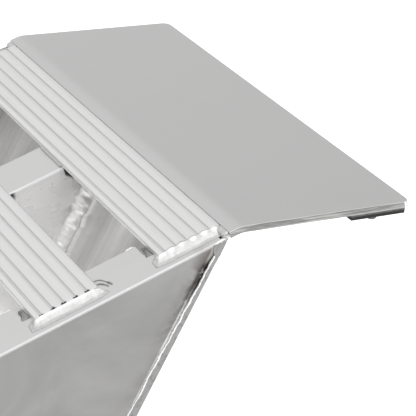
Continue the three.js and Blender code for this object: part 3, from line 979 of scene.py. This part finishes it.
def rounded_off(height):
    """How far a side rail's rounded upper edge is in from its side, at a height."""
    up = max(0.0, height - RAIL_TOP + RAIL_RADIUS)
    return RAIL_RADIUS - math.sqrt(RAIL_RADIUS ** 2 - up ** 2)


def seam_fill(side):
    """Dull weld metal over the end plate's edge, with a painted highlight where it follows the rail's rounded
    upper edge.
    """
    bm = bmesh.new()
    painted_highlight = bm.verts.layers.float.new("painted_highlight")
    rings = []
    for step in range(SEAM_STEPS + 1):
        part = (step / SEAM_STEPS) ** 1.5
        place, reach = seam_place(part, side)
        reach += (FULL_REACH - reach) * max(0.0, 1 - part / CREST_START) ** 0.5
        ring = []
        for index, (share, deep) in enumerate(SEAM_PROFILE):
            point = place - END_NORMAL * share * reach
            point.z = min(point.z, RAIL_TOP - 0.15 * MM)
            round_in = rounded_off(point.z)
            lumpy = deep < 1.2 * MM and round_in == 0.0
            lump = 0.35 * MM * wobble(350 + index * 0.4 + side, part, 32) if lumpy else 0.0
            shallow = deep * (0.15 if part < CREST_START and 0.05 < share <= 1.0 else 1.0)
            inward = Vector((0, -side, 0)) * (shallow + lump + round_in)
            vert = bm.verts.new(inside_box(point + inward))
            # painted highlight on the rounded upper edge
            vert[painted_highlight] = min(1.0, round_in / RAIL_RADIUS * 2.5)
            ring.append(vert)
        rings.append(ring)
    join_rings(bm, rings)
    piece_from(f"end_seam_{side_name(side)}", bm, "seam")


def lip_corner_weld(side):
    """Fillet on a side rail's flange, along the lip plate's low edge beyond the first tread's end."""
    x = boxes["lip_plate"][0][0]
    rise = boxes["lip_plate"][1][2] - RAIL_TOP
    start = Vector((x, side * (boxes[TREADS[0]][1][1] - 2 * MM), RAIL_TOP))
    end = Vector((x, side * (SIDE - 1.2 * MM), RAIL_TOP))
    fillet = straight(start, end, -ALONG * 6.5 * MM, UP * rise)
    add_weld(f"lip_corner_{side_name(side)}", fillet, 380 + side, ripple=0.12, lump=0.2, swell=3 * MM,
             pitch=5 * MM)


def seam_crest(side):
    """Narrow crest where the outer weld meets the rail's web, in a lighter weld colour that is a painted
    highlight.
    """
    stations = []
    for step in range(SEAM_STEPS + 1):
        part = CREST_START + (0.99 - CREST_START) * step / SEAM_STEPS
        place, reach = seam_place(part, side)
        root = place - END_NORMAL * reach - Vector((0, side, 0)) * 1.3 * MM
        width = (1.2 + 0.5 * wobble(360 + side, part, 20)) * MM
        stations.append((root, -END_NORMAL * width, Vector((0, side, 0)) * 1.2 * MM))
    add_weld(f"end_crest_{side_name(side)}", stations, 370 + side, ripple=0.2, lump=0.25, step=0.8 * MM,
             sides=8, swell=4 * MM, pitch=4 * MM, arc=math.pi, finish="crest")


# ---- screws ----

SHANK_RADIUS = 2.7 * MM
HEAD_RADIUS = 5.5 * MM
SCREW_TURNS = 28
# Radius and height of a screw's outline, from its shank's end to its head's top, about its box's middle.
SCREW_PROFILE = [
    (0.0, -6.7 * MM), (SHANK_RADIUS, -6.7 * MM), (SHANK_RADIUS, 2.6 * MM), (HEAD_RADIUS, 2.6 * MM),
    (HEAD_RADIUS, 4.0 * MM), (5.0 * MM, 5.7 * MM), (4.1 * MM, 6.6 * MM), (3.3 * MM, 6.9 * MM),
    (0.0, 7.0 * MM),
]


def add_screw(node):
    """Pan-head screw, head down, in a pad below a sloping plate."""
    low, high = boxes[node]
    middle = Vector([(a + b) / 2 for a, b in zip(low, high)])
    bm = bmesh.new()
    rings = []
    for radius, height in SCREW_PROFILE:
        if radius == 0.0:
            rings.append([bm.verts.new((0, 0, height))])
            continue
        rings.append([bm.verts.new((
            radius * math.cos(2 * math.pi * turn / SCREW_TURNS),
            radius * math.sin(2 * math.pi * turn / SCREW_TURNS),
            height)) for turn in range(SCREW_TURNS)])
    for before, after in zip(rings, rings[1:]):
        for turn in range(SCREW_TURNS):
            follow = (turn + 1) % SCREW_TURNS
            corners = [before[turn % len(before)], before[follow % len(before)],
                       after[follow % len(after)], after[turn % len(after)]]
            bm.faces.new(list(dict.fromkeys(corners)))
    bmesh.ops.recalc_face_normals(bm, faces=bm.faces)
    turn_down = UP.rotation_difference(-OFF_SLOPE).to_matrix().to_4x4()
    bm.transform(Matrix.Translation(middle) @ turn_down)
    soften(piece_from(f"{node}_pan", bm, "screw", [node]), 0.25 * MM, 2, 32)


# ---- build ----

for rail in RAILS:
    copied(rail, "rail", RAIL_EDGE)
copied("lip_plate", "plate", LIP_EDGE)
copied("end_plate", "end", PLATE_EDGE)
copied("toe_plate", "plate", PLATE_EDGE)
copied("foot_plate", "plate", PLATE_EDGE)
for pad in ("lip_pad", "foot_pad"):
    add_pad(pad)
for tie in TIES:
    copied(tie, "tie", PLATE_EDGE)
for tread in TREADS:
    add_tread(tread)
    for weld in (tread_end_weld, notch_weld, burn_ring) if pitted(tread) else (tread_end_weld, notch_weld):
        weld(tread, -1)
        weld(tread, 1)
    tread_middle_weld(tread)
add_end_welds()
add_lip_joint()
add_lip_seam()
add_foot_welds()
for tie in TIES:
    tie_welds(tie)
for screw in SCREWS:
    add_screw(screw)


# ---- stage, light and camera ----

FLOOR_GREY = 0.30
FLOOR_LIT = 1.1  # the floor is an evenly lit table
FLOOR_HALF = 14
FLOOR_DROP = 0.5 * MM
SKY_TOWARDS = (-0.15, 0.55, 0.82)
SKY_DIM = 0.34
SKY_BRIGHT = 1.07
LIGHT_PLACE = (1.25, -1.44, 1.85)
LIGHT_AIM = (0.6, -0.2, 0.15)
LIGHT_SIZE = (3.0, 3.0)
LIGHT_POWER = 27


def add_floor():
    """Plain pale floor, evenly lit from below."""
    bm = bmesh.new()
    bmesh.ops.create_grid(bm, x_segments=2, y_segments=2, size=FLOOR_HALF)
    mesh = bpy.data.meshes.new("studio_floor")
    bm.to_mesh(mesh)
    bm.free()
    floor = bpy.data.objects.new("studio_floor", mesh)
    floor.location = (0, 0, -FLOOR_DROP)
    bpy.context.scene.collection.objects.link(floor)
    material = bpy.data.materials.new("floor_pale")
    material.use_nodes = True
    tree = material.node_tree
    bsdf = tree.nodes["Principled BSDF"]
    bsdf.inputs["Base Color"].default_value = grey(FLOOR_GREY)
    bsdf.inputs["Roughness"].default_value = 0.9
    bsdf.inputs["Emission Color"].default_value = grey(1.0)
    bsdf.inputs["Emission Strength"].default_value = FLOOR_LIT
    mesh.materials.append(material)


def add_light(name, place, aim, size, power):
    light = bpy.data.lights.new(name, "AREA")
    light.shape = "RECTANGLE"
    light.size, light.size_y = size
    light.energy = power
    lamp = bpy.data.objects.new(name, light)
    lamp.location = place
    lamp.rotation_euler = (Vector(aim) - Vector(place)).to_track_quat("-Z", "Y").to_euler()
    bpy.context.scene.collection.objects.link(lamp)


def add_sky():
    """Soft studio surround, brightest beyond the ramp and dim on the near side."""
    world = bpy.data.worlds.new("studio")
    bpy.context.scene.world = world
    world.use_nodes = True
    tree = world.node_tree
    place = tree.nodes.new("ShaderNodeTexCoord").outputs["Generated"]
    dot = tree.nodes.new("ShaderNodeVectorMath")
    dot.operation = "DOT_PRODUCT"
    dot.inputs[1].default_value = SKY_TOWARDS
    tree.links.new(place, dot.inputs[0])
    ramp = tree.nodes.new("ShaderNodeMapRange")
    ramp.interpolation_type = "SMOOTHSTEP"
    ramp.inputs["From Min"].default_value = -0.2
    ramp.inputs["From Max"].default_value = 1.0
    ramp.inputs["To Min"].default_value = SKY_DIM
    ramp.inputs["To Max"].default_value = SKY_BRIGHT
    tree.links.new(dot.outputs["Value"], ramp.inputs["Value"])
    tree.links.new(ramp.outputs["Result"], tree.nodes["Background"].inputs["Strength"])
    tree.nodes["Background"].inputs["Color"].default_value = grey(1.0)


def add_camera():
    data = bpy.data.cameras.new("camera")
    data.lens = CAMERA_LENS
    data.sensor_width = CAMERA_SENSOR
    data.clip_start = 0.05
    data.clip_end = 60
    forward = Vector((
        math.sin(CAMERA_AZIMUTH) * math.cos(CAMERA_ELEVATION),
        math.cos(CAMERA_AZIMUTH) * math.cos(CAMERA_ELEVATION),
        -math.sin(CAMERA_ELEVATION),
    ))
    level = forward.cross(UP).normalized()
    above = level.cross(forward)
    right = level * math.cos(CAMERA_ROLL) + above * math.sin(CAMERA_ROLL)
    top = right.cross(forward)
    camera = bpy.data.objects.new("camera", data)
    camera.matrix_world = Matrix.Translation(CAMERA_PLACE) @ Matrix(
        (right, top, -forward)).transposed().to_4x4()
    bpy.context.scene.collection.objects.link(camera)
    bpy.context.scene.camera = camera


add_floor()
add_light("edge_soft", LIGHT_PLACE, LIGHT_AIM, LIGHT_SIZE, LIGHT_POWER)
add_sky()
add_camera()
bpy.context.scene.view_settings.view_transform = "Standard"
bpy.context.view_layer.update()
